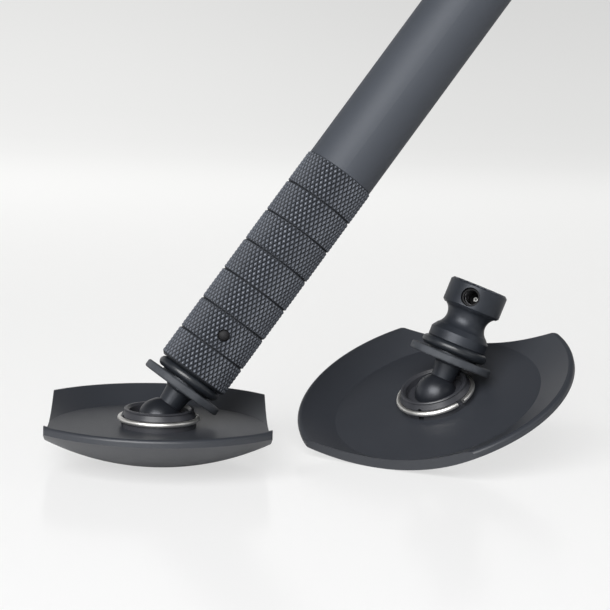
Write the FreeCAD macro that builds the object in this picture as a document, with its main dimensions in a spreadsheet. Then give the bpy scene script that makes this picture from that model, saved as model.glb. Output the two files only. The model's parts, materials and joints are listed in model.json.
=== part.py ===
"""Lower end of a round pole with two quick-detach swivel feet.

Foot A is plugged into the knurled ferrule of the pole and stands under it.
Foot B is a second, identical foot that stands loose beside it.
Millimetres, +Z up, +X to the right, +Y to the back. The origin is the middle of
foot A's sole, on the ground.
"""
import FreeCAD, Part
import math
import os
import re

import Sketcher

Vector = FreeCAD.Vector
Rotation = FreeCAD.Rotation
Placement = FreeCAD.Placement

doc = FreeCAD.newDocument("swivel_foot_pole")

# ---------------------------------------------------------------- driving sizes
SIZES = [
    # pad: a shallow round dish, cut straight on two sides, domed underneath
    ("pad_radius", 53.6), ("pad_half_width", 40.3), ("rim_wall", 2.7), ("floor_height", 12.9),
    ("floor_radius", 40.0), ("rim_land", 1.9), ("dome_radius", 95.0), ("land_radius", 8.0),
    ("corner_radius", 2.5), ("rim_rounding", 1.3),
    # ball joint in the middle of the pad
    ("ball_height", 15.3), ("ball_radius", 8.0), ("ball_gap", 0.05), ("seat_wall", 1.4),
    ("seat_floor", 1.4), ("boss_radius", 11.8), ("bead_depth", 0.45), ("bead_height", 1.9),
    ("bead_width", 1.0), ("ball_flat", 7.1), ("seat_wrap", 0.4), ("ledge_wrap", 1.15),
    # retaining collar round the ball, and the wire ring that closes it
    ("collar_radius", 13.9), ("collar_height", 6.7), ("lip_radius", 12.85), ("lip_height", 0.75),
    ("lip_groove", 0.4), ("mouth_radius", 11.0), ("mouth_chamfer", 0.9), ("wire_radius", 0.95),
    ("wire_height", 3.0), ("wire_groove", 0.6), ("ring_gap", 12.0), ("slot_width", 2.2),
    ("slot_count", 2),
    # stud: stem, washer seat, ring groove, shoulder, neck and head along one axis
    ("stem_foot", 4.45), ("stem_radius", 5.15), ("stem_length", 13.1), ("journal_radius", 2.5),
    ("washer_radius", 16.0), ("washer_thickness", 3.0), ("washer_rounding", 0.8), ("hub_radius", 5.4),
    ("hub_land", 1.0), ("flange_radius", 9.9), ("flange_thickness", 0.6), ("oring_section", 3.8),
    ("oring_floor", 9.1), ("shoulder_radius", 11.4), ("shoulder_length", 3.6), ("cone_length", 2.1),
    ("neck_end_radius", 9.8), ("neck_length", 8.0), ("neck_depth", 2.05), ("head_length", 10.0),
    ("head_chamfer", 0.9), ("head_relief", 0.1), ("bore_height", 4.75), ("tap_depth", 3.5),
    ("tap_height", 2.0),
    # cross bore of the head: button, spring and hollow screw
    ("cross_bore", 3.6), ("nose_radius", 2.2), ("nose_gap", 0.1), ("bore_stop", 8.0),
    ("button_shoulder", 4.5), ("nose_reach", 13.3), ("pin_radius", 1.0), ("pin_end", 1.9),
    ("pin_hold", 1.2), ("pin_dimple", 0.25), ("spring_radius", 2.8), ("spring_wire", 0.6),
    ("spring_turns", 6), ("screw_length", 2.2), ("screw_bore", 2.8), ("screw_inset", 2.0),
    # knurled ferrule and leg tube
    ("ferrule_radius", 14.0), ("bore_gap", 0.1), ("bore_depth", 27.5), ("core_radius", 9.5),
    ("first_band", 12.17), ("band_pitch", 13.33), ("band_count", 7), ("groove_width", 1.4),
    ("groove_depth", 0.7), ("end_chamfer", 1.2), ("plug_length", 25.0), ("plug_chamfer", 1.0),
    ("tube_radius", 13.5), ("tube_wall", 1.25), ("tube_length", 100.0), ("glue_gap", 0.05),
    ("seat_step", 0.5), ("plug_gap", 0.5),
    # small edge breaks
    ("edge_break", 0.3), ("fine_break", 0.2), ("bore_break", 0.5),
    # how the pole and the loose foot stand, in degrees and millimetres
    ("pole_lean", 36.1), ("pole_heading", 13.4), ("pole_spin", -103.2),
    ("loose_x", 109.2), ("loose_y", 22.8), ("loose_tilt", 25.4), ("loose_heading", -135.4),
    ("loose_turn", -124.3), ("stud_lean", 21.5), ("stud_heading", 15.0), ("stud_spin", 55.3),
    ("ring_turn_a", 14), ("ring_turn_b", 73), ("collar_turn_a", 18), ("collar_turn_b", 0),
]

sheet = doc.addObject("Spreadsheet::Sheet", "Sizes")
for row, (alias, number) in enumerate(SIZES, start=1):
    sheet.set("A%d" % row, alias)
    sheet.set("B%d" % row, str(number))
    sheet.setAlias("B%d" % row, alias)
doc.recompute()


def bound(text):
    """An expression on size names, as FreeCAD reads it."""
    return re.sub(r"\b([a-z]\w+)\b(?!\()", r"Sizes.\1", text)


def value(text):
    """The number that an expression on size names gives now."""
    return float(sheet.evalExpression(bound(text)))


# Heights along the stud's axis from the ball's centre, each built on the one before.
WASHER_TOP = "(stem_length + washer_thickness)"
OIL_RING_LOW = "(%s + flange_thickness)" % WASHER_TOP
SHOULDER_LOW = "(%s + oring_section)" % OIL_RING_LOW
CONE_LOW = "(%s + shoulder_length)" % SHOULDER_LOW
NECK_LOW = "(%s + cone_length)" % CONE_LOW
HEAD_LOW = "(%s + neck_length)" % NECK_LOW
HEAD_TOP = "(%s + head_length)" % HEAD_LOW
BORE_AXIS = "(%s + bore_height)" % HEAD_LOW
BALL_TOP = "sqrt(ball_radius^2 - stem_foot^2)"
JOURNAL_END = "-(ball_flat - hub_land * 1.7 + 2 * ball_gap)"
NECK_ARC = "((neck_length^2 / 4 + neck_depth^2) / (2 * neck_depth))"
# Heights along the pole, on the same axis.
FIRST_GROOVE = "(%s + first_band)" % SHOULDER_LOW
FERRULE_TOP = "(%s + (band_count - 1) * band_pitch)" % FIRST_GROOVE
# Heights in the pad, from the ground.
DOME_CENTRE = "sqrt(dome_radius^2 - land_radius^2)"
DOME_EDGE = "(%s - sqrt(dome_radius^2 - pad_radius^2))" % DOME_CENTRE
RIM_TOP = "(%s + rim_wall)" % DOME_EDGE
SEAT_RADIUS = "(ball_radius + ball_gap + seat_wall)"
SEAT_LOW = "(ball_height - ball_radius - ball_gap - seat_floor)"
COLLAR_TOP = "(floor_height + collar_height)"
WIRE_LEVEL = "(floor_height + wire_height)"
BOSS_TOP = "(ball_height + seat_wrap + ball_gap)"
LEDGE_TOP = "(ball_height + ledge_wrap)"
BEAD_LEVEL = "(floor_height + bead_height)"
# Distances from the stud's axis along the cross bore, the button's nose being on +X.
SCREW_INNER = "(shoulder_radius - screw_inset - screw_length)"
BUTTON_REAR = "(bore_stop - button_shoulder - ball_gap)"


# ---------------------------------------------------------------- drawing helpers
def new_body(label):
    body = doc.addObject("PartDesign::Body", label)
    body.Label = label
    return body


def new_sketch(body, name, role, offset=None):
    sketch = body.newObject("Sketcher::SketchObject", name)
    plane = [item for item in body.Origin.OriginFeatures if item.Role == role][0]
    sketch.AttachmentSupport = [(plane, "")]
    sketch.MapMode = "FlatFace"
    if offset:
        sketch.setExpression("AttachmentOffset.Base.z", bound(offset))
    return sketch


def pin_point(sketch, edge, end, across, up):
    """Fixes one point of a sketch at two expressions; None leaves that way free."""
    if across == "0" and up == "0":
        sketch.addConstraint(Sketcher.Constraint("Coincident", edge, end, -1, 1))
        return
    for kind, axis, text in (("DistanceX", -2, across), ("DistanceY", -1, up)):
        if text is None:
            continue
        if text == "0":
            sketch.addConstraint(Sketcher.Constraint("PointOnObject", edge, end, axis))
            continue
        index = sketch.addConstraint(Sketcher.Constraint(kind, -1, 1, edge, end, value(text)))
        sketch.setExpression("Constraints[%d]" % index, bound(text))


def draw(sketch, corners):
    """A closed outline. A corner is (across, up), or (across, up, (centre across, centre up), turn)
    where an arc arrives at it, turning +1 anticlockwise or -1 clockwise. Such a corner is fixed only
    the way that the arc runs there, and the arc's radius sets the other."""
    count = len(corners)
    spots = [Vector(value(corner[0]), value(corner[1]), 0) for corner in corners]
    ends = []
    first = sketch.GeometryCount
    for index in range(count):
        start, stop = spots[index], spots[(index + 1) % count]
        corner = corners[(index + 1) % count]
        if len(corner) == 2:
            sketch.addGeometry(Part.LineSegment(start, stop))
            ends.append((1, 2))
            continue
        (across, up), turn = corner[2], corner[3]
        middle = Vector(value(across), value(up), 0)
        ring = Part.Circle(middle, Vector(0, 0, 1), start.distanceToPoint(middle))
        low, high = (start, stop) if turn > 0 else (stop, start)
        angles = [math.atan2(spot.y - middle.y, spot.x - middle.x) for spot in (low, high)]
        sketch.addGeometry(Part.ArcOfCircle(ring, angles[0], angles[1]))
        ends.append((1, 2) if turn > 0 else (2, 1))
        pin_point(sketch, first + index, 3, across, up)
    for index in range(count):
        following = (index + 1) % count
        sketch.addConstraint(Sketcher.Constraint(
            "Coincident", first + index, ends[index][1], first + following, ends[following][0]))
        across, up = corners[index][:2]
        if len(corners[index]) > 2:
            middle = corners[index][2]
            runs_up = abs(spots[index].x - value(middle[0])) >= abs(spots[index].y - value(middle[1]))
            across, up = (None, up) if runs_up else (across, None)
        pin_point(sketch, first + index, ends[index][0], across, up)


def draw_circle(sketch, across, up, radius):
    middle = Vector(value(across), value(up), 0)
    edge = sketch.addGeometry(Part.Circle(middle, Vector(0, 0, 1), value(radius)))
    pin_point(sketch, edge, 3, across, up)
    index = sketch.addConstraint(Sketcher.Constraint("Radius", edge, value(radius)))
    sketch.setExpression("Constraints[%d]" % index, bound(radius))


def turned(label, corners):
    """A body turned about its own Z axis from a half outline in XZ."""
    body = new_body(label)
    sketch = new_sketch(body, label + "_outline", "XZ_Plane")
    draw(sketch, corners)
    feature = body.newObject("PartDesign::Revolution", label + "_turned")
    feature.Profile = sketch
    feature.ReferenceAxis = (sketch, ["V_Axis"])
    feature.Angle = 360
    sketch.Visibility = False
    doc.recompute()
    return body


def cut(body, sketch, name, forward, length=None):
    """A pocket from a sketch, along its normal or against it; through everything by default."""
    before = body.Shape.Volume
    pocket = body.newObject("PartDesign::Pocket", name)
    pocket.Profile = sketch
    pocket.Reversed = forward
    if length:
        pocket.Type = "Length"
        pocket.setExpression("Length", bound(length))
    else:
        pocket.Type = "ThroughAll"
    doc.recompute()
    if not pocket.Shape.Volume < before - 0.01:
        raise ValueError(name + " cuts nothing")
    return pocket


def repeated(body, feature, name, pattern, count):
    """Repeats a cut round the body's axis or along it."""
    before = feature.Shape.Volume
    copies = body.newObject("PartDesign::" + pattern, name)
    copies.Originals = [feature]
    axis = [item for item in body.Origin.OriginFeatures if item.Role == "Z_Axis"][0]
    if pattern == "PolarPattern":
        copies.Axis = (axis, [""])
        copies.Angle = 360
    else:
        copies.Direction = (axis, [""])
        copies.setExpression("Length", bound("(%s - 1) * band_pitch" % count))
    copies.setExpression("Occurrences", bound(count))
    body.Tip = copies
    doc.recompute()
    if not copies.Shape.Volume < before - 0.01:
        raise ValueError(name + " repeats nothing")


def ring(label, centre_radius, section_radius, sweep="360"):
    """A round ring lying in XY about the local origin."""
    torus = doc.addObject("Part::Torus", label)
    torus.Label = label
    torus.setExpression("Radius1", bound(centre_radius))
    torus.setExpression("Radius2", bound(section_radius))
    torus.setExpression("Angle3", bound(sweep))
    return torus


# ---------------------------------------------------------------- pieces of a foot
def pad(label):
    """Dish with a domed sole, and the boss that takes the ball joint."""
    bead_low = "(%s - bead_width / 2)" % BEAD_LEVEL
    bead_high = "(%s + bead_width / 2)" % BEAD_LEVEL
    rounding_level = "(%s - rim_rounding)" % RIM_TOP
    groove = "(boss_radius - bead_depth)"
    body = turned(label, [
        ("0", "0"),
        ("land_radius", "0"),
        ("pad_radius", DOME_EDGE, ("0", DOME_CENTRE), 1),
        ("pad_radius", rounding_level),
        ("(pad_radius - rim_rounding)", RIM_TOP, ("(pad_radius - rim_rounding)", rounding_level), 1),
        ("(pad_radius - rim_land)", RIM_TOP),
        ("floor_radius", "floor_height"),
        ("boss_radius", "floor_height"),
        ("boss_radius", bead_low),
        (groove, bead_low),
        (groove, bead_high),
        ("boss_radius", bead_high),
        ("boss_radius", BOSS_TOP),
        (SEAT_RADIUS, BOSS_TOP),
        (SEAT_RADIUS, SEAT_LOW),
        ("0", SEAT_LOW),
    ])
    sides = new_sketch(body, label + "_side_lines", "XY_Plane")
    # Each corner is an arc that runs from the straight side into the round rim.
    inset = "(pad_half_width - corner_radius)"
    corner_y = "sqrt((pad_radius - corner_radius)^2 - %s^2)" % inset
    grow = "pad_radius / (pad_radius - corner_radius)"
    touch_x, touch_y = "(%s * %s)" % (inset, grow), "(%s * %s)" % (corner_y, grow)
    for sign, turn in (("", 1), ("-", -1)):
        side, middle, rim = sign + "pad_half_width", sign + inset, sign + touch_x
        draw(sides, [
            (side, corner_y),
            (rim, touch_y, (middle, corner_y), turn),
            (rim + " * 1.5", touch_y + " * 1.5"),
            (rim + " * 1.5", "-%s * 1.5" % touch_y),
            (rim, "-" + touch_y),
            (side, "-" + corner_y, (middle, "-" + corner_y), turn),
        ])
    cut(body, sides, label + "_straight_sides", True)
    return body


def ball_seat(label):
    """Plastic cup that holds the ball's lower half and turns in the pad."""
    outer = "(%s - ball_gap)" % SEAT_RADIUS
    floor = "(%s + ball_gap)" % SEAT_LOW
    hollow = "(ball_radius + ball_gap)"
    top = "(%s - ball_gap)" % BOSS_TOP
    return turned(label, [
        ("0", floor),
        (outer, floor),
        (outer, top),
        ("sqrt(%s^2 - (%s - ball_height)^2)" % (hollow, top), top),
        ("0", "(ball_height - %s)" % hollow, ("0", "ball_height"), -1),
    ])


def collar(label):
    """Cup over the boss: its ledge keeps the ball in, its slotted skirt snaps under a bead."""
    hollow = "(ball_radius + ball_gap)"
    ledge_low = "(%s + ball_gap)" % BOSS_TOP
    skirt_bore = "(boss_radius + ball_gap)"
    bead = "(boss_radius - bead_depth + 2 * ball_gap)"
    bead_root = "(bead_width / 2 - ball_gap)"
    bead_tip = "(bead_width / 4 - ball_gap)"
    wire_seat = "(collar_radius - wire_groove)"
    groove_low = "(%s - wire_radius)" % WIRE_LEVEL
    groove_high = "(%s + wire_radius)" % WIRE_LEVEL
    lip_low = "(%s - lip_height)" % COLLAR_TOP
    hair = "(fine_break / 2)"
    body = turned(label, [
        (skirt_bore, "floor_height"),
        ("collar_radius", "floor_height"),
        ("collar_radius", "(%s - %s)" % (groove_low, hair)),
        (wire_seat, groove_low),
        (wire_seat, groove_high),
        ("(collar_radius - fine_break)", "(%s + %s)" % (groove_high, hair)),
        ("(lip_radius - fine_break)", "(%s - %s)" % (lip_low, hair)),
        ("(lip_radius - lip_groove)", lip_low),
        ("(lip_radius - lip_groove)", "(%s + %s)" % (lip_low, hair)),
        ("lip_radius", "(%s + fine_break)" % lip_low),
        ("lip_radius", "(%s - edge_break)" % COLLAR_TOP),
        ("(lip_radius - edge_break)", COLLAR_TOP),
        ("(mouth_radius + mouth_chamfer)", COLLAR_TOP),
        ("mouth_radius", "(%s - mouth_chamfer)" % COLLAR_TOP),
        ("(mouth_radius - edge_break)", LEDGE_TOP),
        ("sqrt(%s^2 - (%s - ball_height)^2)" % (hollow, LEDGE_TOP), LEDGE_TOP),
        ("sqrt(%s^2 - (%s - ball_height)^2)" % (hollow, ledge_low), ledge_low, ("0", "ball_height"), -1),
        (skirt_bore, ledge_low),
        (skirt_bore, "(%s + %s)" % (BEAD_LEVEL, bead_root)),
        (bead, "(%s + %s)" % (BEAD_LEVEL, bead_tip)),
        (bead, "(%s - %s)" % (BEAD_LEVEL, bead_tip)),
        (skirt_bore, "(%s - %s)" % (BEAD_LEVEL, bead_root)),
    ])
    slot = new_sketch(body, label + "_slot_line", "YZ_Plane")
    half = "slot_width / 2"
    slot_top = "(%s + wire_groove)" % groove_high
    arch_low = "(%s - %s)" % (slot_top, half)
    draw(slot, [
        ("-" + half, "floor_height / 2"),
        (half, "floor_height / 2"),
        (half, arch_low),
        ("0", slot_top, ("0", arch_low), 1),
        ("-" + half, arch_low, ("0", arch_low), 1),
    ])
    first = cut(body, slot, label + "_slot", True)
    repeated(body, first, label + "_slots", "PolarPattern", "slot_count")
    return body


def ball(label):
    """Ball with a bore for the stem's journal and a recess for the screw head."""
    bore = "(journal_radius + ball_gap)"
    recess = "(journal_radius + bore_break)"
    recess_floor = "-(ball_flat - hub_land * 1.7)"
    return turned(label, [
        (bore, recess_floor),
        (recess, recess_floor),
        (recess, "-ball_flat"),
        ("sqrt(ball_radius^2 - ball_flat^2)", "-ball_flat"),
        ("stem_foot", BALL_TOP, ("0", "0"), 1),
        (bore, BALL_TOP),
    ])


def ball_screw(label):
    """Screw in the stem's end that keeps the ball on its journal."""
    head_top = JOURNAL_END
    head_low = "-(ball_flat - edge_break)"
    socket_floor = "(%s - fine_break - edge_break)" % head_top
    head = "(journal_radius + bore_break - 2 * ball_gap)"
    shank = "(journal_radius / 2)"
    shank_top = "(tap_height - tap_depth / 7)"
    return turned(label, [
        ("0", socket_floor),
        ("(%s * 0.6)" % shank, socket_floor),
        ("(%s * 0.6)" % shank, head_low),
        ("(%s - edge_break)" % head, head_low),
        (head, "(%s + edge_break)" % head_low),
        (head, head_top),
        (shank, head_top),
        (shank, shank_top),
        ("0", shank_top),
    ])


def stud(label):
    """Stem with washer hub, flange, ring groove, shoulder, waisted neck and cross-bored head."""
    stem_low = "(%s + ball_gap)" % BALL_TOP
    tapped = "(journal_radius / 2 + ball_gap)"
    hub_rim = "(hub_radius + edge_break)"
    head_radius = "(shoulder_radius - head_relief)"
    body = turned(label, [
        ("0", "tap_height"),
        (tapped, "tap_height"),
        (tapped, JOURNAL_END),
        ("journal_radius", JOURNAL_END),
        ("journal_radius", stem_low),
        ("stem_foot", stem_low),
        ("stem_radius", "(stem_length - hub_land)"),
        (hub_rim, "(stem_length - edge_break)"),
        (hub_rim, "stem_length"),
        ("hub_radius", "stem_length"),
        ("hub_radius", WASHER_TOP),
        ("flange_radius", WASHER_TOP),
        ("flange_radius", OIL_RING_LOW),
        ("oring_floor", OIL_RING_LOW),
        ("oring_floor", SHOULDER_LOW),
        ("(shoulder_radius - fine_break)", SHOULDER_LOW),
        ("shoulder_radius", "(%s + fine_break)" % SHOULDER_LOW),
        ("shoulder_radius", CONE_LOW),
        ("neck_end_radius", NECK_LOW),
        ("neck_end_radius", HEAD_LOW,
         ("(neck_end_radius - neck_depth + %s)" % NECK_ARC, "(%s + neck_length / 2)" % NECK_LOW), -1),
        ("(%s - head_chamfer)" % head_radius, HEAD_LOW),
        (head_radius, "(%s + head_chamfer)" % HEAD_LOW),
        (head_radius, "(%s - head_chamfer)" % HEAD_TOP),
        ("(%s - head_chamfer)" % head_radius, HEAD_TOP),
        ("0", HEAD_TOP),
    ])
    bore = new_sketch(body, label + "_cross_bore_line", "YZ_Plane", "bore_stop")
    draw_circle(bore, "0", BORE_AXIS, "cross_bore")
    cut(body, bore, label + "_cross_bore", False)
    nose = new_sketch(body, label + "_nose_hole_line", "YZ_Plane")
    draw_circle(nose, "0", BORE_AXIS, "nose_radius + nose_gap")
    cut(body, nose, label + "_nose_hole", True)
    return body


def washer(label):
    """Rubber bumper washer with a rounded rim."""
    low_centre = "(stem_length + washer_rounding)"
    high_centre = "(%s - washer_rounding)" % WASHER_TOP
    inner = "(washer_radius - washer_rounding)"
    return turned(label, [
        ("hub_radius", "stem_length"),
        (inner, "stem_length"),
        ("washer_radius", low_centre, (inner, low_centre), 1),
        ("washer_radius", high_centre),
        (inner, WASHER_TOP, (inner, high_centre), 1),
        ("hub_radius", WASHER_TOP),
    ])


def button(label):
    """Detent button about its own Z axis: shoulder in the cross bore, domed nose outside it."""
    dome = "(nose_radius * 1.35)"
    dome_height = "(%s - sqrt(%s^2 - nose_radius^2))" % (dome, dome)
    return turned(label, [
        ("(pin_radius + fine_break / 10)", BUTTON_REAR),
        ("(cross_bore - nose_gap - edge_break)", BUTTON_REAR),
        ("(cross_bore - nose_gap)", "(%s + edge_break)" % BUTTON_REAR),
        ("(cross_bore - nose_gap)", "(bore_stop - ball_gap)"),
        ("nose_radius", "(bore_stop - ball_gap)"),
        ("nose_radius", "(nose_reach - %s)" % dome_height),
        ("0", "nose_reach", ("0", "(nose_reach - %s)" % dome), 1),
        ("0", "(bore_stop - pin_hold)"),
        ("(pin_radius + fine_break / 10)", "(bore_stop - pin_hold)"),
    ])


def button_pin(label):
    """Steel tail pin in the button, with a small centre dimple."""
    return turned(label, [
        ("0", "(pin_end + pin_dimple)"),
        ("(pin_radius * 0.35)", "pin_end"),
        ("(pin_radius - fine_break)", "pin_end"),
        ("pin_radius", "(pin_end + fine_break)"),
        ("pin_radius", "(bore_stop - pin_hold - ball_gap)"),
        ("0", "(bore_stop - pin_hold - ball_gap)"),
    ])


def hollow_screw(label):
    """Ring screw that closes the rear of the cross bore; the tool reaches the pin through it."""
    outer = "(cross_bore - fine_break / 10)"
    outer_face = "-(shoulder_radius - screw_inset)"
    inner_face = "-%s" % SCREW_INNER
    return turned(label, [
        ("screw_bore", outer_face),
        ("(%s - edge_break)" % outer, outer_face),
        (outer, "(%s + edge_break)" % outer_face),
        (outer, inner_face),
        ("screw_bore", inner_face),
    ])


def spring(label):
    """Coil spring between the hollow screw and the button's shoulder."""
    wire = value("spring_wire") / 2
    low = -value(SCREW_INNER) + wire + value("ball_gap")
    high = value(BUTTON_REAR) - wire - value("ball_gap")
    helix = Part.makeLongHelix((high - low) / value("spring_turns"), high - low, value("spring_radius"))
    helix.translate(Vector(0, 0, low))
    start = Vector(value("spring_radius"), 0, low)
    section = Part.Wire(Part.Circle(start, Vector(0, 1, 0), wire).toShape())
    coil = Part.Wire(helix).makePipeShell([section], True, True)
    feature = doc.addObject("Part::Feature", label)
    feature.Label = label
    feature.Shape = coil
    return feature


# ---------------------------------------------------------------- pieces of the pole
def ferrule(label):
    """Knurled sleeve: bore for the foot's head below, glued plug in the tube above."""
    bore = "(shoulder_radius + bore_gap)"
    plug = "(tube_radius - tube_wall - glue_gap)"
    plug_top = "(%s + plug_length)" % FERRULE_TOP
    bore_top = "(%s + bore_depth)" % SHOULDER_LOW
    body = turned(label, [
        ("(%s + bore_break)" % bore, SHOULDER_LOW),
        ("(ferrule_radius - end_chamfer)", SHOULDER_LOW),
        ("ferrule_radius", "(%s + end_chamfer)" % SHOULDER_LOW),
        ("ferrule_radius", "(%s - edge_break)" % FERRULE_TOP),
        ("(ferrule_radius - edge_break)", FERRULE_TOP),
        (plug, FERRULE_TOP),
        (plug, "(%s - plug_chamfer)" % plug_top),
        ("(%s - plug_chamfer)" % plug, plug_top),
        ("core_radius", plug_top),
        ("core_radius", bore_top),
        (bore, bore_top),
        (bore, "(%s + bore_break)" % SHOULDER_LOW),
    ])
    outline = new_sketch(body, label + "_groove_line", "XZ_Plane")
    half = "groove_width / 2"
    draw(outline, [
        ("(ferrule_radius - groove_depth)", FIRST_GROOVE),
        ("(ferrule_radius + groove_depth / 2)", "(%s - %s * 1.5)" % (FIRST_GROOVE, half)),
        ("(ferrule_radius + groove_depth / 2)", "(%s + %s * 1.5)" % (FIRST_GROOVE, half)),
    ])
    before = body.Shape.Volume
    groove = body.newObject("PartDesign::Groove", label + "_groove")
    groove.Profile = outline
    groove.ReferenceAxis = (outline, ["V_Axis"])
    groove.Angle = 360
    doc.recompute()
    if not groove.Shape.Volume < before - 0.01:
        raise ValueError("the groove cuts nothing")
    repeated(body, groove, label + "_grooves", "LinearPattern", "(band_count - 1)")
    hole = new_sketch(body, label + "_detent_line", "YZ_Plane")
    draw_circle(hole, "0", BORE_AXIS, "nose_radius + nose_gap")
    cut(body, hole, label + "_detent_hole", True)
    return body


def leg_tube(label):
    """Pole tube reamed for the ferrule's plug at its lower end, open at its upper end."""
    low = "(%s + glue_gap)" % FERRULE_TOP
    top = "(%s + tube_length)" % FERRULE_TOP
    seat = "(tube_radius - tube_wall)"
    seat_top = "(%s + plug_length + plug_gap)" % FERRULE_TOP
    bore = "(%s - seat_step)" % seat
    return turned(label, [
        (seat, low),
        ("(tube_radius - fine_break)", low),
        ("tube_radius", "(%s + fine_break)" % low),
        ("tube_radius", "(%s - edge_break)" % top),
        ("(tube_radius - edge_break)", top),
        ("(%s + edge_break)" % bore, top),
        (bore, "(%s - edge_break)" % top),
        (bore, seat_top),
        (seat, seat_top),
    ])


# ---------------------------------------------------------------- where the pieces stand
UP = Vector(0, 0, 1)


def leaned(lean, heading, spin):
    """A turn about the piece's own axis, then a lean towards a heading."""
    towards = Rotation(UP, value(heading))
    return towards * Rotation(Vector(0, 1, 0), value(lean)) * Rotation(UP, value(spin))


def foot(suffix, pad_place, stud_turn):
    """The pieces of one foot, placed, in the order they go together."""
    lift = Placement(Vector(0, 0, value("ball_height")), Rotation())
    stud_place = Placement((pad_place * lift).Base, stud_turn)
    cross = Placement(Vector(0, 0, value(BORE_AXIS)), Rotation(Vector(0, 1, 0), 90))
    bore_place = stud_place * cross
    wire = Placement(Vector(0, 0, value(WIRE_LEVEL)), Rotation(UP, value("ring_turn_" + suffix)))
    collar_turn = Placement(Vector(), Rotation(UP, value("collar_turn_" + suffix)))
    oil_ring = Placement(Vector(0, 0, value(OIL_RING_LOW) + value("oring_section") / 2), Rotation())
    seat_radius = "(collar_radius - wire_groove + wire_radius + fine_break / 10)"
    pieces = [
        (pad("pad_" + suffix), pad_place),
        (ball_seat("ball_seat_" + suffix), pad_place),
        (collar("collar_" + suffix), pad_place * collar_turn),
        (ring("snap_ring_" + suffix, seat_radius, "wire_radius", "360 - ring_gap"), pad_place * wire),
        (ball("ball_" + suffix), stud_place),
        (ball_screw("ball_screw_" + suffix), stud_place),
        (stud("stud_" + suffix), stud_place),
        (washer("washer_" + suffix), stud_place),
        (ring("oring_" + suffix, "oring_floor + oring_section / 2", "(oring_section - ball_gap) / 2"),
         stud_place * oil_ring),
        (button("button_" + suffix), bore_place),
        (button_pin("button_pin_" + suffix), bore_place),
        (spring("button_spring_" + suffix), bore_place),
        (hollow_screw("hollow_screw_" + suffix), bore_place),
    ]
    for piece, place in pieces:
        piece.Placement = place
    return [piece for piece, place in pieces]


pole_turn = leaned("pole_lean", "pole_heading", "pole_spin")
pole_place = Placement(Vector(0, 0, value("ball_height")), pole_turn)
loose_lean = leaned("loose_tilt", "loose_heading", "-loose_heading + loose_turn")
# The loose foot rests on its dome, so its sole's middle stands off the ground by what the tilt lifts.
loose_z = value("dome_radius - %s * cos(loose_tilt * 1deg)" % DOME_CENTRE)
loose_place = Placement(Vector(value("loose_x"), value("loose_y"), loose_z), loose_lean)

parts = foot("a", Placement(), pole_turn)
parts += foot("b", loose_place, leaned("stud_lean", "stud_heading", "stud_spin"))
for piece in (ferrule("ferrule"), leg_tube("leg_tube")):
    piece.Placement = pole_place
    parts.append(piece)

doc.recompute()

# ---------------------------------------------------------------- check and write
for item in doc.Objects:
    if "Invalid" in item.State or "Error" in item.State:
        raise ValueError("%s did not build: %s" % (item.Name, item.State))
for piece in parts:
    if piece.Shape.isNull() or not piece.Shape.isValid() or len(piece.Shape.Solids) != 1:
        raise ValueError("%s has no sound solid" % piece.Label)

os.makedirs("parts", exist_ok=True)
for piece in parts:
    piece.Shape.exportStep("parts/%s.step" % piece.Label)
print("%d pieces" % len(parts))
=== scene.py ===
"""Look of a pole end with two quick-detach swivel feet.

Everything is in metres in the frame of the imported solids: +Z up, origin under foot A.
"""
import json
import math

import bmesh
import bpy
from mathutils import Matrix, Vector


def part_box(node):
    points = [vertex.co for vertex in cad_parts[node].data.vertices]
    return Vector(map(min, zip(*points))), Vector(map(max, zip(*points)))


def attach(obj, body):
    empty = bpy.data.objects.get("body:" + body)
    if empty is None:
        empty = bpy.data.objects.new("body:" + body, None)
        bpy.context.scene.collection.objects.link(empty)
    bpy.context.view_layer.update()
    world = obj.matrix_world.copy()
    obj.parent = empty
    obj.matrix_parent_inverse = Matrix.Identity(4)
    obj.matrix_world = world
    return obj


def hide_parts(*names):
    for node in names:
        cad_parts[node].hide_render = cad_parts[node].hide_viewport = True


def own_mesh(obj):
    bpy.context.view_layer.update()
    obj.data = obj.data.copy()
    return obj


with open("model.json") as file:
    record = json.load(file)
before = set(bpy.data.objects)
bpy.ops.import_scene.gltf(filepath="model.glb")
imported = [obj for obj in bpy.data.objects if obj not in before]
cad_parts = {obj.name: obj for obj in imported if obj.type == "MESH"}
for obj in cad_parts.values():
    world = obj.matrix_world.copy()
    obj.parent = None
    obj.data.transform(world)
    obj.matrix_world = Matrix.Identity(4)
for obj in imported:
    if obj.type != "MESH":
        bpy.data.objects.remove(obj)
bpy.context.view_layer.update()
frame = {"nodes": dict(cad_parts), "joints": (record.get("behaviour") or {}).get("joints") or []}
MM = 0.001
FULL_TURN = 2 * math.pi

# ---------------------------------------------------------------- where things are
joints = {joint["name"]: joint for joint in frame["joints"]}


def axis_of(joint):
    return Vector(joints[joint]["axis"]).normalized()


def middle_of(node):
    low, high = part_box(node)
    return (low + high) / 2


BALL = {foot: Vector(joints["twist_" + foot]["pos_m"]) for foot in "ab"}
STUD_AXIS = {foot: axis_of("twist_" + foot) for foot in "ab"}
NOSE = {foot: -axis_of("press_" + foot) for foot in "ab"}       # where the button's nose points


def bore_middle(foot):
    """Where the cross bore's axis meets the stud's axis."""
    away = middle_of("button_" + foot) - BALL[foot]
    return BALL[foot] + STUD_AXIS[foot] * away.dot(STUD_AXIS[foot])


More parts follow.
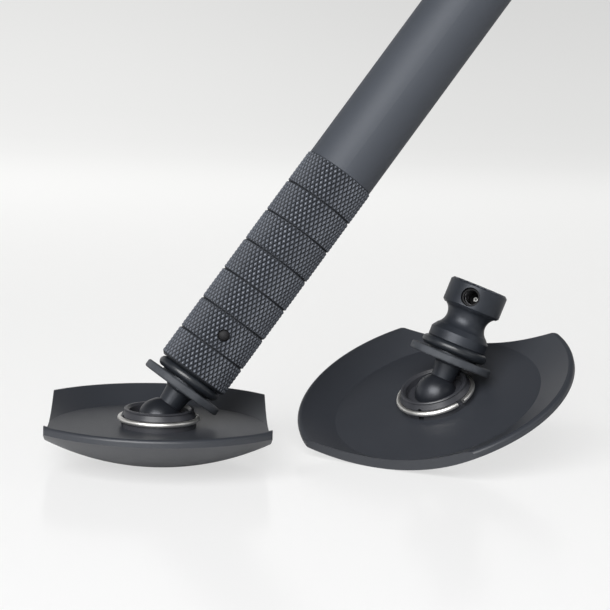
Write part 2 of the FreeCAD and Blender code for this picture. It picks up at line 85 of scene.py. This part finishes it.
# ---------------------------------------------------------------- shader sums
class Signal:
    """A shader socket that takes part in sums as a number would."""

    def __init__(self, nodes, socket):
        self.nodes = nodes
        self.socket = socket

    def sum(self, operation, *others):
        sockets = dict(enumerate((self,) + others))
        return self.nodes.add("ShaderNodeMath", {"operation": operation}, sockets)

    def __add__(self, other):
        return self.sum("ADD", other)

    def __sub__(self, other):
        return self.sum("SUBTRACT", other)

    def __rsub__(self, other):
        return self.nodes.add("ShaderNodeMath", {"operation": "SUBTRACT"}, {0: other, 1: self})

    def __mul__(self, other):
        return self.sum("MULTIPLY", other)

    def __pow__(self, other):
        return self.sum("POWER", other)

    __radd__ = __add__
    __rmul__ = __mul__

    def clamped(self):
        return self.sum("MAXIMUM", 0.0).sum("MINIMUM", 1.0)

    def wave(self):
        """Runs from 0 to 1 and back as the signal grows by a full turn."""
        return self.sum("SINE") * 0.5 + 0.5

    def ramp(self, low, high):
        """0 below low, 1 above high, smooth between."""
        sockets = {"Value": self, "From Min": low, "From Max": high}
        return self.nodes.add("ShaderNodeMapRange", {"interpolation_type": "SMOOTHSTEP"}, sockets)


class Nodes:
    """The nodes of a material or of the world."""

    def __init__(self, owner, output):
        owner.use_nodes = True
        self.tree = owner.node_tree
        self.tree.nodes.clear()
        self.seen = self.tree.nodes.new(output).inputs["Surface"]

    def feed(self, socket, value):
        """Links a signal to a socket, or sets the socket to a value."""
        if isinstance(value, Signal):
            self.tree.links.new(value.socket, socket)
        elif socket.type == "RGBA":
            socket.default_value = tuple(value) + (1.0,)
        else:
            socket.default_value = value

    def add(self, kind, settings=None, sockets=None, output=0):
        """Any node: its settings first, then the values or links of its sockets."""
        node = self.tree.nodes.new(kind)
        for key, value in (settings or {}).items():
            setattr(node, key, value)
        for key, value in (sockets or {}).items():
            self.feed(node.inputs[key], value)
        return Signal(self, node.outputs[output])

    def show(self, shader):
        """Makes a shader the one that is seen."""
        self.feed(self.seen, shader)

    def ray(self, kind):
        """1 for a ray of one kind, such as Camera or Glossy, and 0 for others."""
        return self.add("ShaderNodeLightPath", output="Is %s Ray" % kind)

    def parts(self, vector):
        """X, Y and Z of a vector."""
        return [self.add("ShaderNodeSeparateXYZ", None, {0: vector}, axis) for axis in range(3)]

    def mix(self, amount, first, second):
        """A colour between two; sockets 6 and 7 and output 2 are the node's colour ones."""
        sockets = {0: amount, 6: first, 7: second}
        return self.add("ShaderNodeMix", {"data_type": "RGBA"}, sockets, 2)

    def vector(self, operation, first, second, output="Vector"):
        settings = {"operation": operation}
        return self.add("ShaderNodeVectorMath", settings, {0: first, 1: second}, output)


class Finish(Nodes):
    """A material: a Principled shader, and the nodes that feed it."""

    def __init__(self, name, sockets=None):
        self.material = bpy.data.materials.new(name)
        super().__init__(self.material, "ShaderNodeOutputMaterial")
        self.surface = self.add("ShaderNodeBsdfPrincipled", None, sockets)
        self.show(self.surface)

    def set(self, sockets):
        for key, value in sockets.items():
            self.feed(self.surface.socket.node.inputs[key], value)

    def place(self):
        return self.add("ShaderNodeTexCoord", output="Object")

    def noise(self, scale, detail=2.0, roughness=0.5):
        """Noise round 0.5, scale in waves a metre."""
        sockets = {"Vector": self.place(), "Scale": scale, "Detail": detail, "Roughness": roughness}
        return self.add("ShaderNodeTexNoise", None, sockets)

    def along(self, origin, axis):
        """Distance from a point, measured along an axis."""
        moved = self.vector("SUBTRACT", self.place(), origin)
        return self.vector("DOT_PRODUCT", moved, axis, "Value")

    def away(self, origin, axis):
        """Distance from an axis."""
        moved = self.vector("SUBTRACT", self.place(), origin)
        crossed = self.vector("CROSS_PRODUCT", moved, axis)
        return self.add("ShaderNodeVectorMath", {"operation": "LENGTH"}, {0: crossed}, "Value")

    def bump(self, height, depth):
        """A surface normal from a height that runs from 0 to 1, depth in metres."""
        sockets = {"Height": height, "Distance": depth, "Strength": 1.0}
        return self.add("ShaderNodeBump", None, sockets)


# ---------------------------------------------------------------- finishes
PAD_CHARCOAL = (0.027, 0.030, 0.037)
PAD_WORN = (0.038, 0.041, 0.048)
# paler colour of the band at the head's top: partly wear, partly painted highlight
STUD_BLACK = (0.018, 0.021, 0.027)
STUD_RUBBED_HIGHLIGHT = (0.17, 0.18, 0.20)
BALL_BLACK = (0.018, 0.020, 0.025)
SEAT_BLACK = (0.009, 0.009, 0.010)
COLLAR_BLACK = (0.030, 0.031, 0.036)
BUTTON_BLACK = (0.004, 0.004, 0.005)
WASHER_RUBBER = (0.036, 0.040, 0.047)
WASHER_BLOOM = (0.066, 0.071, 0.080)
ORING_RUBBER = (0.009, 0.011, 0.014)
ORING_SMEARED = (0.016, 0.019, 0.024)
RING_STEEL = (0.90, 0.89, 0.86)
PIN_STEEL = (0.42, 0.42, 0.41)
SPRING_STEEL = (0.07, 0.07, 0.075)
THREAD_BLACK = (0.005, 0.005, 0.006)
# paler colour on the thread's crests: a painted highlight
THREAD_CREST_HIGHLIGHT = (0.20, 0.20, 0.20)
OXIDE_DARK = (0.020, 0.020, 0.022)
OXIDE_PALE = (0.045, 0.045, 0.048)
TUBE_SLATE = (0.045, 0.051, 0.062)
# the knurl's black, which also carries the painted shade towards its valleys
TUBE_PALE = (0.055, 0.061, 0.073)
KNURL_BLACK_SHADED = (0.016, 0.018, 0.022)
# paler colour of the knurl's tips: wear and painted highlight
KNURL_RUBBED_HIGHLIGHT = (0.160, 0.174, 0.204)

TURNING_PITCH = 0.22 * MM        # between the rings that the lathe leaves
HEAD_TOP = 44.2 * MM             # along the stud from the ball's centre
# where the paler band at the head's top starts and where it is full: partly wear, partly painted
# highlight
HEAD_WEAR_HIGHLIGHT_LOW = HEAD_TOP - 0.9 * MM
HEAD_WEAR_HIGHLIGHT_FULL = HEAD_TOP - 0.1 * MM
THREAD_PITCH = 0.7 * MM


def shade(tint, times):
    return tuple(times * part for part in tint)


def blasted_anodised(name):
    """Charcoal anodising over a fine blasted surface."""
    finish = Finish(name, {"Metallic": 0.0, "Specular IOR Level": 0.55})
    grain = finish.noise(2600, 3.0, 0.6)
    cloud = finish.noise(28, 4.0, 0.55)
    finish.set({
        "Base Color": finish.mix((cloud - 0.35).clamped(), PAD_CHARCOAL, PAD_WORN),
        "Roughness": 0.36 + 0.12 * cloud + 0.08 * (grain - 0.5),
        "Normal": finish.bump(grain, 0.005 * MM),
    })
    return finish.material


def turned_anodised(name, foot, tint, rough):
    """Black anodising over lathe-turned metal: fine rings round the stud's axis, and a paler band
    at the head's top that is partly wear and partly painted highlight.
    """
    finish = Finish(name, {"Metallic": 0.35})
    height = finish.along(BALL[foot], STUD_AXIS[foot])
    wander = finish.noise(900)
    rings = (height * (FULL_TURN / TURNING_PITCH) + wander * 3.0).wave()
    patch = finish.noise(70, 3.0)
    end = height.ramp(HEAD_WEAR_HIGHLIGHT_LOW, HEAD_WEAR_HIGHLIGHT_FULL)
    # paler band at the head's top: partly wear, partly painted highlight
    wear_and_highlight = end * finish.noise(1300, 1.0).ramp(0.45, 0.6)
    plain = finish.mix(patch.ramp(0.35, 0.75), tint, shade(tint, 1.5))
    finish.set({
        "Base Color": finish.mix(wear_and_highlight, plain, STUD_RUBBED_HIGHLIGHT),
        "Roughness": rough + 0.08 * rings + 0.08 * (patch - 0.5),
        "Normal": finish.bump(rings, 0.004 * MM),
    })
    return finish.material


def moulded_plastic(name, tint, rough):
    """Slightly uneven black moulding."""
    finish = Finish(name)
    fine = finish.noise(1500)
    broad = finish.noise(90)
    finish.set({
        "Base Color": finish.mix(broad, tint, shade(tint, 1.25)),
        "Roughness": rough + 0.1 * (broad - 0.5) + 0.05 * (fine - 0.5),
        "Normal": finish.bump(fine, 0.008 * MM),
    })
    return finish.material


def matte_rubber(name):
    """Matte rubber with a powdery bloom."""
    finish = Finish(name, {"Specular IOR Level": 0.35})
    fine = finish.noise(3200, 3.0, 0.65)
    bloom = finish.noise(160, 4.0, 0.6)
    finish.set({
        "Base Color": finish.mix(bloom.ramp(0.35, 0.75), WASHER_RUBBER, WASHER_BLOOM),
        "Roughness": 0.62 + 0.15 * (bloom - 0.5),
        "Normal": finish.bump(fine, 0.015 * MM),
    })
    return finish.material


def glossy_rubber(name):
    """Smooth rubber with smears."""
    finish = Finish(name, {"Specular IOR Level": 0.6})
    smear = finish.noise(220, 3.0)
    finish.set({
        "Base Color": finish.mix(smear, ORING_RUBBER, ORING_SMEARED),
        "Roughness": 0.27 + 0.18 * smear,
        "Normal": finish.bump(smear, 0.01 * MM),
    })
    return finish.material


def drawn_wire(name, tint, rough):
    """Drawn wire with duller spots."""
    finish = Finish(name, {"Metallic": 1.0})
    draw = finish.noise(1400)
    spots = finish.noise(260, 4.0)
    finish.set({
        "Base Color": finish.mix(spots.ramp(0.5, 0.8), tint, shade(tint, 0.82)),
        "Roughness": rough + 0.14 * spots,
        "Normal": finish.bump(draw, 0.002 * MM),
    })
    return finish.material


def threaded_black(name, foot):
    """Black oxide screw with a thread inside, whose crests are given a painted highlight."""
    finish = Finish(name, {"Metallic": 0.2, "Specular IOR Level": 0.3})
    depth = finish.along(BALL[foot], NOSE[foot])
    crests = (depth * (FULL_TURN / THREAD_PITCH)).wave() ** 10.0
    finish.set({
        # painted highlight: the crests are coloured paler, besides their roughness and bump
        "Base Color": finish.mix(crests, THREAD_BLACK, THREAD_CREST_HIGHLIGHT),
        "Roughness": 0.6 - 0.25 * crests,
        "Normal": finish.bump(crests, 0.03 * MM),
    })
    return finish.material


def oxide_steel(name):
    """Black oxide over steel."""
    finish = Finish(name, {"Metallic": 0.7})
    fine = finish.noise(1800)
    finish.set({
        "Base Color": finish.mix(fine, OXIDE_DARK, OXIDE_PALE),
        "Roughness": 0.32 + 0.15 * fine,
        "Normal": finish.bump(fine, 0.005 * MM),
    })
    return finish.material


def slate_tube(name):
    """Satin slate coat with a faint orange peel."""
    finish = Finish(name, {"Metallic": 0.1, "Specular IOR Level": 0.32})
    orange_peel = finish.noise(1100)
    broad = finish.noise(35, 3.0)
    finish.set({
        "Base Color": finish.mix(broad, TUBE_SLATE, TUBE_PALE),
        "Roughness": 0.58 + 0.1 * (broad - 0.5) + 0.05 * (orange_peel - 0.5),
        "Normal": finish.bump(orange_peel, 0.01 * MM),
    })
    return finish.material


def knurled_anodised(name):
    """Black anodising on the knurl, darker towards the valleys as painted shade, paler at the tips
    as wear and painted highlight.
    """
    finish = Finish(name, {"Metallic": 0.3, "Specular IOR Level": 0.4})
    reach = finish.away(BALL["a"], STUD_AXIS["a"])
    # runs from the valleys to the tips: painted shade below, wear and painted highlight at the tips
    tip = reach.ramp(FERRULE_RADIUS - 0.5 * MM, FERRULE_RADIUS - 0.02 * MM)
    patch = finish.noise(60, 3.0)
    fine = finish.noise(2500)
    # paler tips: wear and painted highlight
    wear_and_highlight = tip * (0.55 + 0.45 * patch)
    finish.set({
        "Base Color": finish.mix(wear_and_highlight, KNURL_BLACK_SHADED, KNURL_RUBBED_HIGHLIGHT),
        "Roughness": 0.50 - 0.04 * tip + 0.1 * (patch - 0.5),
        "Normal": finish.bump(fine, 0.006 * MM),
    })
    return finish.material


# ---------------------------------------------------------------- making pieces
TURNED_SIDES = 96                # of the ferrule's bore and plug
DRILL_SIDES = 40


def put_in_scene(name, data):
    thing = bpy.data.objects.new(name, data)
    bpy.context.scene.collection.objects.link(thing)
    return thing


def object_from(name, mesh):
    """Turns a bmesh into an object."""
    data = bpy.data.meshes.new(name)
    mesh.to_mesh(data)
    mesh.free()
    return put_in_scene(name, data)


def make_piece(name, mesh, material, slot, body, *replaced):
    """Turns a bmesh into a piece that rides on a body."""
    piece = object_from(name, mesh)
    piece.data.materials.append(material)
    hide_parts(*replaced)
    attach(piece, body)
    return piece


def ring(mesh, radius, height, count):
    """Vertices in a circle about Z; at radius 0 they are all the same one."""
    if radius == 0.0:
        return [mesh.verts.new((0, 0, height))] * count
    angles = [FULL_TURN * index / count for index in range(count)]
    spots = [(radius * math.cos(angle), radius * math.sin(angle), height) for angle in angles]
    return [mesh.verts.new(spot) for spot in spots]


def join_rings(mesh, rings):
    """Faces between each ring of vertices and the next."""
    for low, high in zip(rings, rings[1:]):
        for index in range(len(low)):
            following = (index + 1) % len(low)
            corners = [low[index], low[following], high[following], high[index]]
            mesh.faces.new(list(dict.fromkeys(corners)))


def move_to(mesh, middle, axis):
    """Moves a mesh made about Z to a place, its +Z along an axis."""
    turn = axis.to_track_quat("Z", "Y").to_matrix().to_4x4()
    bmesh.ops.transform(mesh, matrix=Matrix.Translation(middle) @ turn, verts=mesh.verts)


def drill(piece, middle, axis, radius, reach, chamfer):
    """Cuts a round hole from the middle out through one wall, with a countersink at reach."""
    mesh = bmesh.new()
    wide = radius + 2 * chamfer
    beyond = reach + 3 * chamfer
    outline = [(0.0, 0.0), (radius, 0.0), (radius, reach - chamfer),
               (wide, reach + chamfer), (wide, beyond), (0.0, beyond)]
    join_rings(mesh, [ring(mesh, *corner, DRILL_SIDES) for corner in outline])
    bmesh.ops.recalc_face_normals(mesh, faces=mesh.faces)
    move_to(mesh, middle, axis)
    tool = object_from("drill", mesh)
    modifier = piece.modifiers.new("hole", "BOOLEAN")
    modifier.object = tool
    modifier.solver = "EXACT"
    bake(piece)
    bpy.data.objects.remove(tool)


def bake(piece):
    """Applies a piece's modifiers to its mesh."""
    ready = piece.evaluated_get(bpy.context.evaluated_depsgraph_get())
    data = bpy.data.meshes.new_from_object(ready)
    piece.modifiers.clear()
    piece.data = data


# ---------------------------------------------------------------- ferrule
FERRULE_RADIUS = 14.0 * MM
BAND_COUNT = 7
KNURL_DEPTH = 0.55 * MM
KNURL_ROUND = 48                 # diamonds round the ferrule
KNURL_SLOPE = 30                 # degrees from the axis to the knurl's lines
TIP_FLAT = 0.24                  # share of a diamond that its flat tip takes up
GROOVE_DEPTH = 0.7 * MM
GROOVE_HALF = 0.6 * MM           # half of a groove's width
MOUTH_CHAMFER = 1.2 * MM
TOP_CHAMFER = 0.3 * MM
HOLE_RADIUS = 2.3 * MM           # where the button's nose shows
HOLE_CHAMFER = 0.1 * MM

MOUTH = 20.5 * MM                # heights along the pole from the ball's centre
FIRST_GROOVE = MOUTH + 12.17 * MM
BAND_PITCH = 13.33 * MM
FERRULE_TOP = FIRST_GROOVE + (BAND_COUNT - 1) * BAND_PITCH
BORE_TOP = MOUTH + 27.5 * MM
PLUG_TOP = FERRULE_TOP + 25 * MM

BORE_RADIUS = 11.5 * MM
CORE_RADIUS = 9.5 * MM
PLUG_RADIUS = 12.2 * MM
BORE_CHAMFER = 0.5 * MM
PLUG_CHAMFER = 1.0 * MM

SAME_SPOT = 0.01 * MM            # vertices closer than this are one


def pole_frame():
    """Turns a point measured about the pole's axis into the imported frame; +X to the button."""
    side = STUD_AXIS["a"].cross(NOSE["a"])
    turn = Matrix((NOSE["a"], side, STUD_AXIS["a"])).transposed()
    return Matrix.Translation(BALL["a"]) @ turn.to_4x4()


def groove_radius(height):
    """Radius that the grooves and end chamfers leave at a height."""
    allowed = FERRULE_RADIUS
    for number in range(BAND_COUNT - 1):
        off = abs(height - FIRST_GROOVE - number * BAND_PITCH)
        allowed = min(allowed, FERRULE_RADIUS - GROOVE_DEPTH * (1 - off / GROOVE_HALF))
    allowed = min(allowed, FERRULE_RADIUS - MOUTH_CHAMFER + (height - MOUTH))
    return min(allowed, FERRULE_RADIUS - TOP_CHAMFER + (FERRULE_TOP - height))


def knurl_sheet(cuts):
    """The knurl rolled out flat, cut across at some heights: X round, Y along, Z the radius."""
    mesh = bmesh.new()
    wide = FULL_TURN * FERRULE_RADIUS / KNURL_ROUND
    tall = wide / math.tan(math.radians(KNURL_SLOPE))
    valley = FERRULE_RADIUS - KNURL_DEPTH
    reach = [(0.5, 0), (0, 0.5), (-0.5, 0), (0, -0.5)]       # a diamond's corners, in diamonds
    spots = {}

    def spot(column, row, radius):
        key = (round(column * 1000), round(row * 1000))
        if key not in spots:
            spots[key] = mesh.verts.new((column * wide, MOUTH + row * tall, radius))
        return spots[key]

    rows = int((FERRULE_TOP - MOUTH) / tall) + 2
    for half_row in range(-1, 2 * rows):
        row = half_row / 2
        for number in range(KNURL_ROUND):
            column = number + (0.5 if half_row % 2 else 0.0)
            corners = [spot(column + x, row + y, valley) for x, y in reach]
            tips = [spot(column + x * TIP_FLAT, row + y * TIP_FLAT, FERRULE_RADIUS)
                    for x, y in reach]
            mesh.faces.new(tips)
            for index in range(4):
                following = (index + 1) % 4
                mesh.faces.new((corners[index], corners[following], tips[following], tips[index]))
    for height in cuts:
        everything = mesh.verts[:] + mesh.edges[:] + mesh.faces[:]
        outside = {"clear_inner": height == cuts[0], "clear_outer": height == cuts[-1]}
        bmesh.ops.bisect_plane(mesh, geom=everything, plane_co=(0, height, 0),
                               plane_no=(0, 1, 0), **outside)
    return mesh


def ferrule_skin():
    """Knurled outside joined to the turned bore, core and plug."""
    cuts = [MOUTH + share * MOUTH_CHAMFER for share in (0.0, 0.4, 0.7, 1.0)]
    for number in range(BAND_COUNT - 1):
        groove = FIRST_GROOVE + number * BAND_PITCH
        cuts += [groove + quarter / 4 * GROOVE_HALF for quarter in range(-4, 5)]
    cuts += [FERRULE_TOP - TOP_CHAMFER, FERRULE_TOP]
    mesh = knurl_sheet(cuts)
    for vertex in mesh.verts:
        angle = vertex.co.x / FERRULE_RADIUS
        height = vertex.co.y
        radius = min(vertex.co.z, groove_radius(height))
        vertex.co = (radius * math.cos(angle), radius * math.sin(angle), height)
    bmesh.ops.remove_doubles(mesh, verts=mesh.verts, dist=SAME_SPOT)
    close_with_turning(mesh, [
        (PLUG_RADIUS, FERRULE_TOP), (PLUG_RADIUS, PLUG_TOP - PLUG_CHAMFER),
        (PLUG_RADIUS - PLUG_CHAMFER, PLUG_TOP), (CORE_RADIUS, PLUG_TOP), (CORE_RADIUS, BORE_TOP),
        (BORE_RADIUS, BORE_TOP), (BORE_RADIUS, MOUTH + BORE_CHAMFER),
        (BORE_RADIUS + BORE_CHAMFER, MOUTH),
    ])
    return mesh


def close_with_turning(mesh, outline):
    """Joins the open ends of a sleeve by turning an outline between them.

    The outline starts at the top end, so that its faces look the same way as the sleeve's.
    """
    join_rings(mesh, [ring(mesh, *corner, TURNED_SIDES) for corner in outline])
    open_edges = [edge for edge in mesh.edges if edge.is_boundary]
    for height in (MOUTH, FERRULE_TOP):
        rim = [edge for edge in open_edges if abs(edge.verts[0].co.z - height) < 2 * SAME_SPOT]
        bmesh.ops.bridge_loops(mesh, edges=rim)
    bmesh.ops.recalc_face_normals(mesh, faces=mesh.faces)


def ferrule():
    """Knurled ferrule with the hole for foot A's button."""
    mesh = ferrule_skin()
    bmesh.ops.transform(mesh, matrix=pole_frame(), verts=mesh.verts)
    material = knurled_anodised("knurled_black")
    piece = make_piece("knurled_ferrule", mesh, material, "ferrule_black", "pole", "ferrule")
    drill(piece, bore_middle("a"), NOSE["a"], HOLE_RADIUS, FERRULE_RADIUS, HOLE_CHAMFER)


# ---------------------------------------------------------------- button springs
SPRING_RADIUS = 2.8 * MM
SPRING_WIRE = 0.3 * MM           # radius of the wire
SPRING_TURNS = 6
SPRING_LOW = -6.85 * MM          # along the cross bore from the stud's axis, towards the nose
SPRING_HIGH = 3.10 * MM
WIRE_SIDES = 10
STEPS_A_TURN = 32


def coil():
    """Coil about Z, closed at both ends of the wire."""
    mesh = bmesh.new()
    rings = []
    for step in range(SPRING_TURNS * STEPS_A_TURN + 1):
        share = step / (SPRING_TURNS * STEPS_A_TURN)
        angle = FULL_TURN * SPRING_TURNS * share
        outward = Vector((math.cos(angle), math.sin(angle), 0))
        height = SPRING_LOW + (SPRING_HIGH - SPRING_LOW) * share
        centre = outward * SPRING_RADIUS + Vector((0, 0, height))
        turns = [FULL_TURN * index / WIRE_SIDES for index in range(WIRE_SIDES)]
        sides = [outward * math.cos(turn) + Vector((0, 0, math.sin(turn))) for turn in turns]
        rings.append([mesh.verts.new(centre + SPRING_WIRE * side) for side in sides])
    join_rings(mesh, rings)
    mesh.faces.new(rings[0])
    mesh.faces.new(rings[-1])
    bmesh.ops.recalc_face_normals(mesh, faces=mesh.faces)
    for face in mesh.faces:
        face.smooth = True
    return mesh


def spring(foot, body):
    """Coil behind the button, its far end at the hollow screw; it rides on one body."""
    mesh = coil()
    middle = bore_middle(foot)
    move_to(mesh, middle, NOSE[foot])
    node = "button_spring_" + foot
    material = drawn_wire("spring_steel_" + foot, SPRING_STEEL, 0.3)
    piece = make_piece("coil_" + foot, mesh, material, "spring_steel", body, node)
    anchor = middle + NOSE[foot] * (SPRING_LOW - SPRING_WIRE)
    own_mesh(piece)


# ---------------------------------------------------------------- finishes on the solids
def dress_solids():
    """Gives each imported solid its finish."""
    for foot in "ab":
        finishes = {
            "pad": blasted_anodised("pad_charcoal_" + foot),
            "ball_seat": moulded_plastic("seat_black_" + foot, SEAT_BLACK, 0.5),
            "collar": moulded_plastic("collar_black_" + foot, COLLAR_BLACK, 0.36),
            "snap_ring": drawn_wire("ring_steel_" + foot, RING_STEEL, 0.34),
            "ball": turned_anodised("ball_black_" + foot, foot, BALL_BLACK, 0.33),
            "ball_screw": oxide_steel("screw_black_" + foot),
            "stud": turned_anodised("stud_black_" + foot, foot, STUD_BLACK, 0.38),
            "washer": matte_rubber("washer_rubber_" + foot),
            "oring": glossy_rubber("oring_rubber_" + foot),
            "button": moulded_plastic("button_black_" + foot, BUTTON_BLACK, 0.72),
            "button_pin": drawn_wire("pin_steel_" + foot, PIN_STEEL, 0.42),
            "hollow_screw": threaded_black("hollow_screw_black_" + foot, foot),
        }
        for part, material in finishes.items():
            put_on(part + "_" + foot, material)
    put_on("leg_tube", slate_tube("tube_slate"))


def put_on(node, material):
    solid = frame["nodes"][node]
    solid.data.materials.clear()
    solid.data.materials.append(material)


# ---------------------------------------------------------------- camera, floor and light
CAMERA_EYE = Vector((1.439, -761.173, 173.213)) * MM
CAMERA_TURNS = (3.836, 8.509, 1.929)     # degrees: right of +Y, downwards, roll
LENS = 124.2                             # millimetres
SENSOR = 36                              # millimetres wide

FLOOR_HALF = 4.0                         # half of its width
FLOOR_NEAR = -3.0
FLOOR_FAR = 1.4                          # where it starts to sweep up
SWEEP_RADIUS = 0.9
SWEEP_STEPS = 12
BACKDROP_TOP = 1.1

FLOOR_GLOW = 0.62                        # share of its brightness that no shadow takes away
FLOOR_GLOW_FAR = 0.96                    # the same, far behind the object
FLOOR_GLOW_MIRRORED = 0.10               # how much of that the object mirrors

LIT_PLACE = (0.05, 0.0, 0.05)            # what the lamps point at
SKY_ABOVE = 0.04                         # brightness straight up
SKY_LOW = 0.50                           # what the horizon adds to it
SKY_LEAN = 0.65                          # share the right is darker than the middle, the left paler
BLACK = (0.0, 0.0, 0.0)
WHITE = (1.0, 1.0, 1.0)
WARM_WHITE = (0.995, 0.995, 0.985)
BACKDROP_WHITE = (0.86, 0.86, 0.85)


def camera():
    """Low three-quarter view from the front."""
    yaw, pitch, roll = (math.radians(angle) for angle in CAMERA_TURNS)
    forward = Vector((math.sin(yaw) * math.cos(pitch), math.cos(yaw) * math.cos(pitch),
                      -math.sin(pitch)))
    level = Vector((math.cos(yaw), -math.sin(yaw), 0))
    upward = level.cross(forward)
    right = math.cos(roll) * level + math.sin(roll) * upward
    top = math.cos(roll) * upward - math.sin(roll) * level
    data = bpy.data.cameras.new("camera")
    data.lens = LENS
    data.sensor_width = SENSOR
    data.clip_start, data.clip_end = 0.01, 50
    piece = put_in_scene("camera", data)
    turn = Matrix((right, top, -forward)).transposed().to_4x4()
    piece.matrix_world = Matrix.Translation(CAMERA_EYE) @ turn
    bpy.context.scene.camera = piece


def floor():
    """Pale glossy table that sweeps up behind into a backdrop."""
    angles = [math.radians(90 * step / SWEEP_STEPS) for step in range(1, SWEEP_STEPS + 1)]
    profile = [(FLOOR_NEAR, 0.0), (FLOOR_FAR, 0.0)]
    profile += [(FLOOR_FAR + SWEEP_RADIUS * math.sin(angle), SWEEP_RADIUS * (1 - math.cos(angle)))
                for angle in angles]
    profile += [(FLOOR_FAR + SWEEP_RADIUS, BACKDROP_TOP)]
    mesh = bmesh.new()
    left, right = [[mesh.verts.new((x, y, z)) for y, z in profile]
                   for x in (-FLOOR_HALF, FLOOR_HALF)]
    for index in range(len(profile) - 1):
        mesh.faces.new((left[index], right[index], right[index + 1], left[index + 1]))
    piece = object_from("floor", mesh)
    for face in piece.data.polygons:
        face.use_smooth = True
    piece.data.materials.append(floor_white())


def floor_white():
    """Satin white that glows a little of itself, so that it stays pale and still takes a shadow."""
    white = {"Base Color": (0.90, 0.90, 0.90), "Roughness": 0.18, "Specular IOR Level": 0.6}
    finish = Finish("floor_white", white)
    across, away, up = finish.parts(finish.place())
    far = away.ramp(0.1, 1.2)
    side = across.ramp(-0.25, 0.5) * away.ramp(0.0, 1.0)
    # painted shade: the glow is darker far back, up the sweep and towards the back right
    tone = 1.0 - 0.16 * away.ramp(0.9, 1.9) - 0.05 * up.ramp(0.05, 0.2) - 0.10 * side
    tint = finish.mix(away.ramp(-0.25, 0.3), WHITE, WARM_WHITE)
    glow = finish.add("ShaderNodeEmission", None, {"Color": finish.mix(tone, BLACK, tint)})
    own = FLOOR_GLOW + (FLOOR_GLOW_FAR - FLOOR_GLOW) * far
    mirrored = finish.ray("Glossy").sum("MAXIMUM", finish.ray("Transmission"))
    share = (finish.ray("Camera") * own).sum("MAXIMUM", mirrored * own * FLOOR_GLOW_MIRRORED)
    finish.show(finish.add("ShaderNodeMixShader", None, {0: share, 1: finish.surface, 2: glow}))
    return finish.material


def lamp(name, place, size, watts):
    data = bpy.data.lights.new(name, "AREA")
    data.shape = "RECTANGLE"
    data.size, data.size_y = size
    data.energy = watts
    piece = put_in_scene(name, data)
    piece.location = place
    towards = Vector(LIT_PLACE) - Vector(place)
    piece.rotation_euler = towards.to_track_quat("-Z", "Y").to_euler()


def light():
    """A big box at the left, a weak one at the right, and a world brightest low at the left."""
    lamp("left_box", place=(-0.7, -2.0, 1.35), size=(2.2, 1.5), watts=98)
    lamp("right_box", place=(1.7, -0.6, 1.1), size=(1.2, 1.2), watts=4)
    world = bpy.data.worlds.new("studio")
    sky = Nodes(world, "ShaderNodeOutputWorld")
    across, _, up = sky.parts(sky.add("ShaderNodeTexCoord", output="Generated"))
    level = 1.0 - up.ramp(0.05, 0.8)
    shine = (SKY_ABOVE + SKY_LOW * level) * (1.0 - SKY_LEAN * across)
    lit = sky.add("ShaderNodeBackground", None, {"Color": sky.mix(shine, BLACK, WHITE)})
    plain = sky.add("ShaderNodeBackground", None, {"Color": BACKDROP_WHITE})
    sky.show(sky.add("ShaderNodeMixShader", None, {0: sky.ray("Camera"), 1: lit, 2: plain}))
    bpy.context.scene.world = world


camera()
floor()
light()
ferrule()
spring("a", "pole")
spring("b", "foot_stud_b")
dress_solids()
bpy.context.scene.view_settings.view_transform = "Standard"
